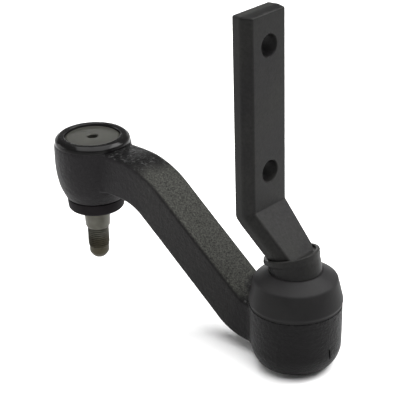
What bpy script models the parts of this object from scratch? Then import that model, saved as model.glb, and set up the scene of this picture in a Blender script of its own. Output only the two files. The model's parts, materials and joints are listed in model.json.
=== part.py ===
"""Idler arm: a frame bracket whose stem turns in a cranked arm, with a ball stud at the arm's far end.

Metres, +Z up. The origin lies on the bracket's mounting face, midway between its two bolt holes.
+Y points out of that face and along the arm, and X runs across the bar.
Heights in the sizes below are counted from the pivot housing's base, unless a name says otherwise.
"""
import math

import bmesh
import bpy
from mathutils import Vector

# Clearances between pieces
GAP = 0.0003
SLIDE = 0.0004
TILT_CLEARANCE = 0.0006

# Bracket bar: a drafted forging, widest at its parting line
HOLE_SPACING = 0.0681
HOLE_DIAMETER = 0.0119
BAR_WIDTH = 0.0272
BAR_THICK = 0.0123
FRONT_DRAFT = 0.00225
BACK_DRAFT = 0.0010
PARTING_DEPTH = 0.0063
BAR_EDGE_RADIUS = 0.0009
BAR_TOP_ROUND = 0.0014
BAR_TOP_MARGIN = 0.0170
BAR_LOW_MARGIN = 0.0198
BAR_SETBACK = 0.0171
CREASE_RADIUS = 0.0010
HEEL_TRIM = 0.0004

# Bracket leg, collar and neck
LEG_ANGLE = math.radians(45)
LEG_NARROWING = 0.0060
LEG_EMBED = 0.0060
LEG_ABOVE_COLLAR = 0.0066
COLLAR_ABOVE_SEAL = 0.0082
COLLAR_PROUD = 0.00135
COLLAR_BAND = 0.0022
COLLAR_ROUND = 0.0012
COLLAR_TILT = math.radians(15)
COLLAR_LEAN = 0.0029
NECK_RADIUS = 0.0138
THROAT_SWELL = 0.0004
NECK_CHAMFER = 0.0006

# Bracket stem
JOURNAL_RADIUS = 0.0095
STEM_THREAD_RADIUS = 0.0077
PILOT_RADIUS = 0.0062
PILOT_CHAMFER = 0.0006
STEM_OVERLAP = 0.0040

# Pivot housing
PIVOT_BORE = 0.0180
PIVOT_WALL = 0.0069
PIVOT_FLOOR = 0.0070
HOUSING_DRAFT = 0.00055
HOUSING_TOP_ROUND = 0.0011
BASE_ROUND = 0.0125
PORT_RADIUS = 0.0031

# Pieces in the pivot housing
SPRING_DISC_THICK = 0.0010
SPRING_DISC_CONE = 0.0007
SPRING_DISC_BORE = 0.0052
SPRING_DISC_CLEARANCE = 0.0012
LOWER_BEARING_HEIGHT = 0.0058
LOWER_BEARING_FLOOR = 0.0013
NUT_HEIGHT = 0.0047
NUT_FLATS = 0.0220
NUT_PIN_RADIUS = 0.0013
WASHER_THICK = 0.0020
WASHER_CLEARANCE = 0.0025
WASHER_CHAMFER = 0.0004
UPPER_BEARING_HEIGHT = 0.0080
RETAINER_HEIGHT = 0.0059
RETAINER_PROUD = 0.0009
NOTCH_WIDTH = 0.0040
NOTCH_DEPTH = 0.0012
O_RING_WIRE = 0.0009
O_RING_RISE = 0.0020
UPPER_WASHER_THICK = 0.0025

# Pivot seal
SEAL_HEIGHT = 0.0194
SEAL_OVERHANG = 0.00035
SEAL_FLARE = 0.0028
SEAL_SHOULDER_DROP = 0.0046
SEAL_SHOULDER_ROUND = 0.0016
SEAL_LIP_HEIGHT = 0.0026
SEAL_LIP_ROUND = 0.0014
SEAL_FOOT = 0.0013
SEAL_WALL = 0.0024
SEAL_COLLAR_THICK = 0.0034

# Cranked arm
STUD_REACH = 0.1500
ARM_WIDTH = 0.0237
ARM_THICK = 0.0235
ARM_CROWN = 0.0005
ARM_EDGE_RADIUS = 0.0022
ARM_BELOW_TOP = 0.0160
ARM_END_RISE = 0.0005
ARM_LOW_RUN = 0.0071
ARM_LOW_BEND_RADIUS = 0.0220
ARM_HIGH_RUN = 0.0225
ARM_HIGH_BEND_RADIUS = 0.0400
ARM_ABOVE_BALL = 0.0052
ARM_FLARE_RADIUS = 0.0032
ARM_LAND = 0.0003
ARM_BURY = 0.0080

# Ball joint, heights counted from the ball's centre
BALL_HEIGHT = 0.0730
BALL_RADIUS = 0.0145
HEAD_FLAT = 0.0100
PRESSURE_SEAT_LOW = 0.0033
PRESSURE_SEAT_BORE = 0.0071
SEAT_WALL = 0.0025
LOWER_SEAT_HEIGHT = 0.0110
SEAT_RIM_ANGLE = math.radians(35)
HALF_BALL_LAND = 0.0008
TILT_LIMIT = math.radians(15)
STUD_SPRING_WIRE = 0.0008
STUD_SPRING_HEIGHT = 0.0037
STUD_SPRING_SMALL = 0.0090
STUD_SPRING_CLEARANCE = 0.0031
STUD_SPRING_TURNS = 2.25
COVER_THICK = 0.0026
COVER_LEDGE = 0.0012
COVER_CHAMFER = 0.0006

# Stud housing
STUD_HOUSING_WALL = 0.0052
BELLY_SWELL = 0.0014
BELLY_RISE = 0.0020
WAIST_SWELL = 0.0043
WAIST_RISE = 0.0050
FLOOR_THICK = 0.0057
FOOT_WALL = 0.0038
LIP_THICK = 0.0008
LIP_OVERHANG = 0.0012
ROLL_HEIGHT = 0.0055
ROLL_NECK = 0.0007
ROLL_STEP = 0.0003
ROLL_GROOVE = 0.0004
ROLL_ROUND = 0.0030

# Stud below the ball
STUD_JOURNAL = 0.0080
TAPER_BELOW_FOOT = 0.0035
TAPER_LENGTH = 0.0163
TAPER_TOP_RADIUS = 0.0083
TAPER_END_RADIUS = 0.0072
THREAD_RADIUS = 0.00635
THREAD_CHAMFER = 0.0012
THREAD_LENGTH = 0.0087
TAIL_RADIUS = 0.0055
TAIL_NECKING = 0.0026
TAIL_LENGTH = 0.0049
STUD_TIP_LENGTH = 0.0031
STUD_TIP_ROUND = 0.0014
STUD_TIP_RADIUS = 0.0033
PIN_HOLE_RADIUS = 0.0016
PIN_HOLE_TURN = math.radians(-47)

# Dust boot
BOOT_RADIUS = 0.0170
BOOT_HEIGHT = 0.0073
BOOT_ROUND = 0.0016
BOOT_WALL = 0.0020

FINE = 48
MEDIUM = 32
SMALL = 24
MERGE = 0.00001

# Stack in the pivot housing, from its floor up
DISC_BASE = PIVOT_FLOOR + GAP
LOWER_BEARING_BASE = DISC_BASE + SPRING_DISC_THICK + SPRING_DISC_CONE + GAP
LOWER_BEARING_TOP = LOWER_BEARING_BASE + LOWER_BEARING_HEIGHT
STEM_END = LOWER_BEARING_BASE + LOWER_BEARING_FLOOR + GAP
NUT_BASE = LOWER_BEARING_TOP + GAP
LOWER_WASHER_BASE = NUT_BASE + NUT_HEIGHT + GAP
UPPER_BEARING_BASE = LOWER_WASHER_BASE + WASHER_THICK + GAP
RETAINER_BASE = UPPER_BEARING_BASE + UPPER_BEARING_HEIGHT + GAP
RETAINER_TOP = RETAINER_BASE + RETAINER_HEIGHT
UPPER_WASHER_BASE = RETAINER_TOP + GAP
SHOULDER_HEIGHT = UPPER_WASHER_BASE + UPPER_WASHER_THICK + GAP

# Outside of the pivot end, and the bracket above it
HOUSING_RADIUS = PIVOT_BORE + PIVOT_WALL
HOUSING_HEIGHT = RETAINER_TOP - RETAINER_PROUD
SEAL_BASE = HOUSING_HEIGHT + GAP
SEAL_TOP = SEAL_BASE + SEAL_HEIGHT
SEAL_LIP_RADIUS = HOUSING_RADIUS + SEAL_OVERHANG
SEAL_SHOULDER_RADIUS = SEAL_LIP_RADIUS - SEAL_FLARE
COLLAR_HEIGHT = SEAL_TOP + COLLAR_ABOVE_SEAL
COLLAR_RADIUS = NECK_RADIUS + COLLAR_PROUD
CREASE_HEIGHT = COLLAR_HEIGHT + LEG_ABOVE_COLLAR + BAR_SETBACK / math.tan(LEG_ANGLE)
LOW_HOLE_HEIGHT = CREASE_HEIGHT + BAR_LOW_MARGIN
HIGH_HOLE_HEIGHT = LOW_HOLE_HEIGHT + HOLE_SPACING
BAR_TOP = HIGH_HOLE_HEIGHT + BAR_TOP_MARGIN

# Ball joint and stud housing, from the ball's centre
SOCKET_RADIUS = BALL_RADIUS + GAP
STUD_BORE = SOCKET_RADIUS + SEAT_WALL
HEAD_TOP = math.sqrt(BALL_RADIUS ** 2 - HEAD_FLAT ** 2)
PRESSURE_SEAT_TOP = math.sqrt(SOCKET_RADIUS ** 2 - PRESSURE_SEAT_BORE ** 2)
COVER_BASE = PRESSURE_SEAT_TOP + GAP + STUD_SPRING_HEIGHT + GAP
COVER_TOP = COVER_BASE + COVER_THICK
LIP_TOP = COVER_TOP + GAP + LIP_THICK
FLOOR_DROP = LOWER_SEAT_HEIGHT + GAP
FOOT_DROP = FLOOR_DROP + FLOOR_THICK
HALF_BALL_DROP = math.sqrt(BALL_RADIUS ** 2 - (STUD_JOURNAL + GAP + HALF_BALL_LAND) ** 2)


def tilted_reach(drop):
    """Radius that the tilted stud's journal needs at a depth below the ball's centre."""
    return drop * math.tan(TILT_LIMIT) + STUD_JOURNAL / math.cos(TILT_LIMIT) + TILT_CLEARANCE


FLOOR_MOUTH = tilted_reach(FLOOR_DROP)
FOOT_MOUTH = tilted_reach(FOOT_DROP)
FOOT_RADIUS = FOOT_MOUTH + FOOT_WALL
CROWN_RADIUS = STUD_BORE + STUD_HOUSING_WALL
CROWN_RISE = LIP_TOP - ROLL_HEIGHT
LIP_RADIUS = STUD_BORE - LIP_OVERHANG
COVER_POCKET = STUD_BORE + COVER_LEDGE
TAPER_TOP_DROP = FOOT_DROP + TAPER_BELOW_FOOT
TAPER_END_DROP = TAPER_TOP_DROP + TAPER_LENGTH
THREAD_END_DROP = TAPER_END_DROP + THREAD_CHAMFER + THREAD_LENGTH
TAIL_TOP_DROP = THREAD_END_DROP + TAIL_NECKING
TAIL_END_DROP = TAIL_TOP_DROP + TAIL_LENGTH
STUD_LENGTH = TAIL_END_DROP + STUD_TIP_LENGTH


def clear_scene():
    for old in list(bpy.data.objects):
        bpy.data.objects.remove(old, do_unlink=True)


def new_collection(name):
    group = bpy.data.collections.new(name)
    bpy.context.scene.collection.children.link(group)
    return group


clear_scene()
PARTS = new_collection("idler_arm")
CUTTERS = new_collection("cutters")


def axis_empty(name, place, parent=None):
    """An empty on a joint's axis, which carries the pieces that turn about it."""
    empty = bpy.data.objects.new(name, None)
    empty.location = place
    empty.parent = parent
    PARTS.objects.link(empty)
    return empty


def finish(piece, colour, roughness, metallic):
    material = bpy.data.materials.new(piece.name)
    material.use_nodes = True
    shader = material.node_tree.nodes["Principled BSDF"]
    shader.inputs["Base Color"].default_value = (*colour, 1.0)
    shader.inputs["Roughness"].default_value = roughness
    shader.inputs["Metallic"].default_value = metallic
    piece.data.materials.append(material)
    return piece


def place_mesh(name, mesh, seat, group=None):
    piece = bpy.data.objects.new(name, mesh)
    piece.parent = seat
    (group or PARTS).objects.link(piece)
    if group is CUTTERS:
        piece.hide_render = True
        piece.display_type = "WIRE"
    return piece


def turned(name, profile, seat, steps=MEDIUM, closed=False, group=None):
    """A turned shape: the profile's (radius, height) points run down its outer side, top to bottom."""
    mesh = bpy.data.meshes.new(name)
    links = [(i, i + 1) for i in range(len(profile) - 1)]
    if closed:
        links.append((len(profile) - 1, 0))
    mesh.from_pydata([(radius, 0.0, height) for radius, height in profile], links, [])
    piece = place_mesh(name, mesh, seat, group)
    screw = piece.modifiers.new("turn", "SCREW")
    screw.steps = steps
    screw.render_steps = steps
    screw.use_merge_vertices = True
    screw.merge_threshold = MERGE
    screw.use_smooth_shade = True
    return piece


def cut(piece, cutter, operation="DIFFERENCE"):
    boolean = piece.modifiers.new(cutter.name, "BOOLEAN")
    boolean.operation = operation
    boolean.object = cutter
    boolean.solver = "EXACT"


def drill(name, radius, length, place, seat, direction="Z", turn=0.0, steps=SMALL):
    """A round cutter centred on place, along the axis direction, turned about Z."""
    mesh = bpy.data.meshes.new(name)
    shape = bmesh.new()
    bmesh.ops.create_cone(shape, cap_ends=True, segments=steps, radius1=radius, radius2=radius, depth=length)
    shape.to_mesh(mesh)
    shape.free()
    cutter = shade(place_mesh(name, mesh, seat, CUTTERS), 60)
    cutter.location = place
    if direction == "Y":
        cutter.rotation_euler = (math.pi / 2, 0.0, turn)
    if direction == "X":
        cutter.rotation_euler = (0.0, math.pi / 2, turn)
    return cutter


def arc(radius, height, start, end, steps):
    """Points (radius, height) on a sphere about the axis, by angles from the level plane upwards."""
    angles = [start + (end - start) * i / steps for i in range(steps + 1)]
    return [(radius * math.cos(a), height + radius * math.sin(a)) for a in angles]


def corner_arc(centre, radius, start, end, steps):
    """Points on a small circle about centre, by angles in the profile's plane."""
    angles = [start + (end - start) * i / steps for i in range(steps + 1)]
    return [(centre[0] + radius * math.cos(a), centre[1] + radius * math.sin(a)) for a in angles]


def rounded(corners, steps=2):
    """A closed outline from (x, y, radius) corners, each corner with a radius swapped for a short curve."""
    outline = []
    count = len(corners)
    for i, (x, y, radius) in enumerate(corners):
        here = Vector((x, y))
        if not radius:
            outline.append((x, y))
            continue
        back = (Vector(corners[i - 1][:2]) - here).normalized()
        ahead = (Vector(corners[(i + 1) % count][:2]) - here).normalized()
        tangent = radius / math.tan(back.angle(ahead) / 2)
        start = here + back * tangent
        end = here + ahead * tangent
        for k in range(steps + 1):
            share = k / steps
            point = start.lerp(here, share).lerp(here.lerp(end, share), share)
            outline.append((point.x, point.y))
    return outline


def loft(name, stations, seat, group=None):
    """A closed skin through stations, each a loop of as many points."""
    shape = bmesh.new()
    loops = [[shape.verts.new(point) for point in station] for station in stations]
    for near, far in zip(loops, loops[1:]):
        for i in range(len(near)):
            j = (i + 1) % len(near)
            shape.faces.new((near[i], near[j], far[j], far[i]))
    shape.faces.new(list(reversed(loops[0])))
    shape.faces.new(loops[-1])
    bmesh.ops.recalc_face_normals(shape, faces=shape.faces)
    mesh = bpy.data.meshes.new(name)
    shape.to_mesh(mesh)
    shape.free()
    return shade(place_mesh(name, mesh, seat, group))


def shade(piece, angle=30):
    """Smooth shading with edges kept sharp where faces meet steeply."""
    piece.data.shade_smooth()
    piece.data.set_sharp_from_angle(angle=math.radians(angle))
    return piece


def bracket_section(narrowing, inset):
    """The drafted bar's outline as (across, depth) points, depth counted from the front face."""
    middle = (BAR_WIDTH - narrowing) / 2 - inset
    face = middle - FRONT_DRAFT
    back = middle - BACK_DRAFT
    corners = [
        (-face, inset),
        (face, inset),
        (middle, PARTING_DEPTH),
        (back, BAR_THICK - inset),
        (-back, BAR_THICK - inset),
        (-middle, PARTING_DEPTH),
    ]
    return rounded([(across, depth, BAR_EDGE_RADIUS) for across, depth in corners])


def bracket_station(front, tilt, narrowing=0.0, depth_scale=1.0, inset=0.0):
    """Sets the section with its front face at front (y, z), its depth turned down by tilt."""
    y, z = front
    points = []
    for across, depth in bracket_section(narrowing, inset):
        run = depth * depth_scale
        points.append((across, y + run * math.cos(tilt), z - run * math.sin(tilt)))
    return points


def bracket_blank(seat):
    """Bar, bend and leg: the bend's stations fan out about a line just in front of the crease."""
    stations = []
    for angle in (0.0, math.pi / 4, math.pi / 2):
        drop = BAR_TOP_ROUND * (1.0 - math.cos(angle))
        inset = BAR_TOP_ROUND * (1.0 - math.sin(angle))
        stations.append(bracket_station((BAR_SETBACK, BAR_TOP - drop), 0.0, inset=inset))
    centre_y = BAR_SETBACK - CREASE_RADIUS
    centre_z = CREASE_HEIGHT + CREASE_RADIUS * math.tan(LEG_ANGLE / 2)
    fan = 4
    for i in range(fan + 1):
        tilt = LEG_ANGLE * i / fan
        reach = (BAR_THICK + CREASE_RADIUS) / math.cos(min(tilt, LEG_ANGLE - tilt))
        if i == fan // 2:
            reach -= HEEL_TRIM
        bend = (centre_y + CREASE_RADIUS * math.cos(tilt), centre_z - CREASE_RADIUS * math.sin(tilt))
        stations.append(bracket_station(bend, tilt, depth_scale=(reach - CREASE_RADIUS) / BAR_THICK))
    leg_length = (BAR_SETBACK + LEG_EMBED) / math.sin(LEG_ANGLE)
    for share in (0.5, 1.0):
        run = leg_length * share
        front = (bend[0] - run * math.sin(LEG_ANGLE), bend[1] - run * math.cos(LEG_ANGLE))
        stations.append(bracket_station(front, LEG_ANGLE, narrowing=LEG_NARROWING * share))
    return shade(loft("bracket", stations, seat), 20)


def neck_ring(lean, height, radius, tilt):
    """A round station of the neck: its centre leans towards the arm and its plane tilts with it."""
    points = []
    for i in range(FINE):
        angle = 2 * math.pi * i / FINE
        across = radius * math.cos(angle)
        along = radius * math.sin(angle)
        points.append((across, lean + along * math.cos(tilt), height - along * math.sin(tilt)))
    return points


def neck(seat):
    """Neck and collar: upright in the seal, then leaning over with the leg up to the collar's rim."""
    throat = NECK_RADIUS + THROAT_SWELL
    stations = [
        neck_ring(0.0, SHOULDER_HEIGHT, NECK_RADIUS - NECK_CHAMFER, 0.0),
        neck_ring(0.0, SHOULDER_HEIGHT + NECK_CHAMFER, NECK_RADIUS, 0.0),
        neck_ring(0.0, SEAL_TOP, NECK_RADIUS, 0.0),
    ]
    band_start = 1.0 - COLLAR_BAND / COLLAR_ABOVE_SEAL
    band_edge = band_start + COLLAR_PROUD / COLLAR_ABOVE_SEAL
    rims = ((band_start / 2, throat), (band_start, throat), (band_edge, COLLAR_RADIUS), (1.0, COLLAR_RADIUS))
    for share, radius in rims:
        height = SEAL_TOP + COLLAR_ABOVE_SEAL * share
        stations.append(neck_ring(COLLAR_LEAN * share, height, radius, COLLAR_TILT * share))
    cap_lean = COLLAR_LEAN + COLLAR_ROUND * math.sin(COLLAR_TILT)
    cap_height = COLLAR_HEIGHT + COLLAR_ROUND * math.cos(COLLAR_TILT)
    stations.append(neck_ring(cap_lean, cap_height, COLLAR_RADIUS - COLLAR_ROUND, COLLAR_TILT))
    return loft("neck", stations, seat, CUTTERS)


def stem(seat):
    """Stem below the neck: journal, threaded length for the nut and pilot in the lower bearing."""
    profile = [
        (0.0, SHOULDER_HEIGHT + STEM_OVERLAP),
        (JOURNAL_RADIUS, SHOULDER_HEIGHT + STEM_OVERLAP),
        (JOURNAL_RADIUS, UPPER_BEARING_BASE),
        (STEM_THREAD_RADIUS, UPPER_BEARING_BASE),
        (STEM_THREAD_RADIUS, NUT_BASE),
        (PILOT_RADIUS, NUT_BASE),
        (PILOT_RADIUS, STEM_END + PILOT_CHAMFER),
        (PILOT_RADIUS - PILOT_CHAMFER, STEM_END),
        (0.0, STEM_END),
    ]
    return turned("stem", profile, seat, MEDIUM, group=CUTTERS)


def make_bracket(seat):
    """One forging: bar, leg, collar, neck and stem, with two bolt holes through the bar."""
    piece = bracket_blank(seat)
    cut(piece, neck(seat), "UNION")
    cut(piece, stem(seat), "UNION")
    for name, height in (("low_bolt", LOW_HOLE_HEIGHT), ("high_bolt", HIGH_HOLE_HEIGHT)):
        place = (0.0, BAR_SETBACK + BAR_THICK / 2, height)
        cut(piece, drill(name, HOLE_DIAMETER / 2, BAR_THICK * 2, place, seat, "Y"))
    pin_place = (0.0, 0.0, NUT_BASE + NUT_HEIGHT / 2)
    cut(piece, drill("stem_pin_hole", NUT_PIN_RADIUS + GAP, NUT_FLATS, pin_place, seat, "X"))
    return finish(piece, (0.035, 0.034, 0.034), 0.45, 0.2)


def make_seal(seat):
    """Rubber seal: it grips the neck, and its skirt widens to a lip on the housing's top."""
    shoulder = SEAL_TOP - SEAL_SHOULDER_DROP
    lip = SEAL_BASE + SEAL_LIP_HEIGHT
    grip = NECK_RADIUS + GAP
    corners = [
        (grip, SEAL_TOP, 0.0),
        (SEAL_SHOULDER_RADIUS, shoulder, SEAL_SHOULDER_ROUND),
        (SEAL_LIP_RADIUS, lip, SEAL_LIP_ROUND),
        (SEAL_LIP_RADIUS - SEAL_FOOT, SEAL_BASE, 0.0),
        (SEAL_LIP_RADIUS - SEAL_WALL - SEAL_FOOT, SEAL_BASE, 0.0),
        (SEAL_LIP_RADIUS - SEAL_WALL, lip, 0.0),
        (SEAL_SHOULDER_RADIUS - SEAL_WALL, shoulder - SEAL_WALL, 0.0),
        (grip, SEAL_TOP - SEAL_COLLAR_THICK, 0.0),
    ]
    piece = turned("pivot_seal", rounded(corners, 3), seat, FINE, closed=True)
    return finish(piece, (0.045, 0.045, 0.044), 0.55, 0.0)


def housing_blank(seat):
    """The pivot housing as a solid: near upright sides, a small top edge and a well rounded base."""
    low_radius = HOUSING_RADIUS - HOUSING_DRAFT
    profile = [(0.0, HOUSING_HEIGHT)]
    centre = (HOUSING_RADIUS - HOUSING_TOP_ROUND, HOUSING_HEIGHT - HOUSING_TOP_ROUND)
    profile += corner_arc(centre, HOUSING_TOP_ROUND, math.pi / 2, 0.0, 3)
    profile += corner_arc((low_radius - BASE_ROUND, BASE_ROUND), BASE_ROUND, 0.0, -math.pi / 2, 8)
    profile.append((0.0, 0.0))
    return turned("pivot_housing", profile, seat, FINE, group=CUTTERS)


def bezier(start, first, second, end, steps):
    """Points of a smooth curve, without its start."""
    points = []
    for i in range(1, steps + 1):
        t = i / steps
        u = 1.0 - t
        weights = (u ** 3, 3 * u * u * t, 3 * u * t * t, t ** 3)
        parts = zip(weights, (start, first, second, end))
        total = sum((Vector(point) * weight for weight, point in parts), Vector((0.0, 0.0)))
        points.append((total.x, total.y))
    return points


def stud_housing_blank(seat):
    """The stud housing as a solid: a rolled lip on top, a full belly and a narrower foot."""
    crown = (CROWN_RADIUS, CROWN_RISE)
    belly = (CROWN_RADIUS + BELLY_SWELL, BELLY_RISE)
    waist = (FOOT_RADIUS + WAIST_SWELL, -FOOT_DROP + WAIST_RISE)
    foot = (FOOT_RADIUS, -FOOT_DROP)
    roll = CROWN_RADIUS - ROLL_STEP
    groove = CROWN_RISE + ROLL_NECK
    profile = [(0.0, LIP_TOP)]
    profile += corner_arc((roll - ROLL_ROUND, LIP_TOP - ROLL_ROUND), ROLL_ROUND, math.pi / 2, 0.0, 4)
    profile += [
        (roll, groove + 2 * ROLL_GROOVE),
        (roll - ROLL_GROOVE, groove + ROLL_GROOVE),
        (CROWN_RADIUS, groove),
        crown,
    ]
    profile += bezier(crown, belly, waist, foot, 8)
    profile.append((0.0, -FOOT_DROP))
    return turned("stud_housing", profile, seat, FINE, group=CUTTERS)


def fillet(before, corner, after, radius, room, steps):
    """Points and directions of an arc that rounds a path's corner, within room on both sides of it."""
    here = Vector(corner)
    back = (Vector(before) - here).normalized()
    ahead = (Vector(after) - here).normalized()
    half = back.angle(ahead) / 2
    radius = min(radius, room * math.tan(half))
    centre = here + (back + ahead).normalized() * radius / math.sin(half)
    start = here + back * radius / math.tan(half) - centre
    end = here + ahead * radius / math.tan(half) - centre
    span = start.angle(end)
    stops = []
    for i in range(steps + 1):
        share = i / steps
        near = math.sin((1.0 - share) * span) / math.sin(span)
        far = math.sin(share * span) / math.sin(span)
        stops.append((centre + start * near + end * far, ahead * far - back * near))
    return stops


def on_line(start, end, reach):
    """Point and direction of the line through start and end at a given reach from the pivot."""
    share = (reach - start[0]) / (end[0] - start[0])
    return Vector(start).lerp(Vector(end), share), (Vector(end) - Vector(start)).normalized()


def flare_sizes(radius):
    """Where the arm's side meets a housing of that radius, and how far the fillet there turns."""
    side = ARM_WIDTH / 2
    wall = math.sqrt(radius ** 2 - side ** 2)
    turn = math.pi / 2 - math.asin(side / radius)
    return wall, turn


def arm_path():
    """The arm's middle line from pivot to stud: (y, z) point, direction and half width added there."""
    low = HOUSING_HEIGHT - ARM_BELOW_TOP
    high = BALL_HEIGHT + ARM_ABOVE_BALL
    low_start = (0.0, low - ARM_END_RISE)
    low_bend = (HOUSING_RADIUS + ARM_LOW_RUN, low)
    high_bend = (STUD_REACH - CROWN_RADIUS - ARM_HIGH_RUN, high - ARM_END_RISE)
    high_end = (STUD_REACH, high)
    wall, turn = flare_sizes(HOUSING_RADIUS)
    low_begin = wall + ARM_FLARE_RADIUS * math.tan(turn / 2)
    path = [(*on_line(low_start, low_bend, ARM_BURY), 0.0)]
    for share in (1.0, 0.75, 0.5, 0.25, 0.0):
        reach = low_begin - ARM_FLARE_RADIUS * math.sin(turn * share)
        extra = ARM_FLARE_RADIUS * (1.0 - math.cos(turn * share))
        path.append((*on_line(low_start, low_bend, reach), extra))
    wall, turn = flare_sizes(CROWN_RADIUS)
    high_begin = STUD_REACH - wall - ARM_FLARE_RADIUS * math.tan(turn / 2)
    slope = math.dist(low_bend, high_bend) / 2
    room = min(low_bend[0] - low_begin, slope) - ARM_LAND
    bends = fillet(low_start, low_bend, high_bend, ARM_LOW_BEND_RADIUS, room, 6)
    room = min(high_begin - high_bend[0], slope) - ARM_LAND
    bends += fillet(low_bend, high_bend, high_end, ARM_HIGH_BEND_RADIUS, room, 8)
    path += [(point, along, 0.0) for point, along in bends]
    for share in (0.0, 0.25, 0.5, 0.75, 1.0):
        reach = high_begin + ARM_FLARE_RADIUS * math.sin(turn * share)
        extra = ARM_FLARE_RADIUS * (1.0 - math.cos(turn * share))
        path.append((*on_line(high_bend, high_end, reach), extra))
    path.append((*on_line(high_bend, high_end, STUD_REACH - ARM_BURY), 0.0))
    return path


def arm_section(extra):
    """The arm's outline as (across, up) points: flat sides, with top and bottom drafted to the middle."""
    side = ARM_WIDTH / 2
    edge = ARM_THICK / 2
    ridge = edge + ARM_CROWN
    corners = [(-side, -edge), (side, -edge), (side, edge), (-side, edge)]
    outline = rounded([(across, up, ARM_EDGE_RADIUS) for across, up in corners], 3)
    middle = len(outline) // 2
    outline = outline[:4] + [(0.0, -ridge)] + outline[4:middle + 4] + [(0.0, ridge)] + outline[middle + 4:]
    return [(across + math.copysign(extra, across) if across else 0.0, up) for across, up in outline]


def arm_blank(seat):
    stations = []
    for point, along, extra in arm_path():
        station = []
        for across, up in arm_section(extra):
            station.append((across, point.x - along.y * up, point.y + along.x * up))
        stations.append(station)
    return loft("arm_forging", stations, seat)


def make_arm(pivot, ball):
    """One forging: cranked arm with both housings, bored for the pieces that they hold."""
    piece = arm_blank(pivot)
    cut(piece, housing_blank(pivot), "UNION")
    cut(piece, stud_housing_blank(ball), "UNION")
    pivot_bore = [
        (0.0, HOUSING_HEIGHT * 2),
        (PIVOT_BORE, HOUSING_HEIGHT * 2),
        (PIVOT_BORE, PIVOT_FLOOR),
        (0.0, PIVOT_FLOOR),
    ]
    cut(piece, turned("pivot_bore", pivot_bore, pivot, FINE, group=CUTTERS))
    cut(piece, drill("base_port", PORT_RADIUS, PIVOT_FLOOR * 4, (0.0, 0.0, 0.0), pivot))
    stud_bore = [
        (0.0, LIP_TOP * 2),
        (LIP_RADIUS, LIP_TOP * 2),
        (LIP_RADIUS, COVER_TOP + GAP),
        (COVER_POCKET, COVER_TOP + GAP),
        (COVER_POCKET, COVER_BASE - GAP),
        (STUD_BORE, COVER_BASE - GAP),
        (STUD_BORE, -FLOOR_DROP),
        (FLOOR_MOUTH, -FLOOR_DROP),
        (FOOT_MOUTH, -FOOT_DROP),
        (FOOT_MOUTH, -FOOT_DROP * 2),
        (0.0, -FOOT_DROP * 2),
    ]
    cut(piece, turned("stud_bore", stud_bore, ball, FINE, group=CUTTERS))
    return finish(piece, (0.040, 0.039, 0.038), 0.55, 0.2)


def ring(name, outer, inner, base, height, seat):
    """A plain turned ring with its outer edges broken."""
    profile = [
        (inner, base + height),
        (outer - WASHER_CHAMFER, base + height),
        (outer, base + height - WASHER_CHAMFER),
        (outer, base + WASHER_CHAMFER),
        (outer - WASHER_CHAMFER, base),
        (inner, base),
    ]
    return turned(name, profile, seat, MEDIUM, closed=True)


def o_ring(name, radius, wire, height, seat):
    profile = corner_arc((radius, height), wire, math.pi / 2, math.pi / 2 - 2 * math.pi, 8)[:-1]
    return turned(name, profile, seat, MEDIUM, closed=True)


def make_retainer(seat):
    """Threaded ring that keeps the upper bearing down: four spanner notches and two O-ring grooves."""
    outer = PIVOT_BORE - GAP
    inner = JOURNAL_RADIUS + SLIDE
    groove = RETAINER_BASE + O_RING_RISE
    half = O_RING_WIRE + GAP
    depth = 2 * half
    profile = [
        (inner, RETAINER_TOP),
        (outer, RETAINER_TOP),
        (outer, groove + half),
        (outer - depth, groove + half),
        (outer - depth, groove - half),
        (outer, groove - half),
        (outer, RETAINER_BASE),
        (inner, RETAINER_BASE),
        (inner, groove - half),
        (inner + depth, groove - half),
        (inner + depth, groove + half),
        (inner, groove + half),
    ]
    piece = turned("retainer_ring", profile, seat, MEDIUM, closed=True)
    for i in range(4):
        name = f"spanner_notch_{i + 1}"
        mesh = bpy.data.meshes.new(name)
        shape = bmesh.new()
        block = bmesh.ops.create_cube(shape, size=NOTCH_WIDTH)["verts"]
        bmesh.ops.scale(shape, vec=(1.0, 1.0, 2 * NOTCH_DEPTH / NOTCH_WIDTH), verts=block)
        shape.to_mesh(mesh)
        shape.free()
        cutter = place_mesh(name, mesh, seat, CUTTERS)
        turn = i * math.pi / 2
        cutter.location = (outer * math.cos(turn), outer * math.sin(turn), RETAINER_TOP)
        cutter.rotation_euler = (0.0, 0.0, turn)
        cut(piece, cutter)
    return piece


def make_disc_spring(seat):
    """Conical disc spring, its high side at the bore."""
    outer = PIVOT_BORE - SPRING_DISC_CLEARANCE
    high = DISC_BASE + SPRING_DISC_CONE
    profile = [
        (SPRING_DISC_BORE, high + SPRING_DISC_THICK),
        (outer, DISC_BASE + SPRING_DISC_THICK),
        (outer, DISC_BASE),
        (SPRING_DISC_BORE, high),
    ]
    return turned("preload_spring", profile, seat, MEDIUM, closed=True)


def make_lower_bearing(seat):
    """Bearing cup that guides the stem's pilot, with a grease hole in its floor."""
    outer = PIVOT_BORE - GAP
    pocket = PILOT_RADIUS + SLIDE
    profile = [
        (pocket, LOWER_BEARING_TOP),
        (outer, LOWER_BEARING_TOP),
        (outer, LOWER_BEARING_BASE),
        (PORT_RADIUS, LOWER_BEARING_BASE),
        (PORT_RADIUS, LOWER_BEARING_BASE + LOWER_BEARING_FLOOR),
        (pocket, LOWER_BEARING_BASE + LOWER_BEARING_FLOOR),
    ]
    return turned("lower_bearing", profile, seat, MEDIUM, closed=True)


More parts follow.
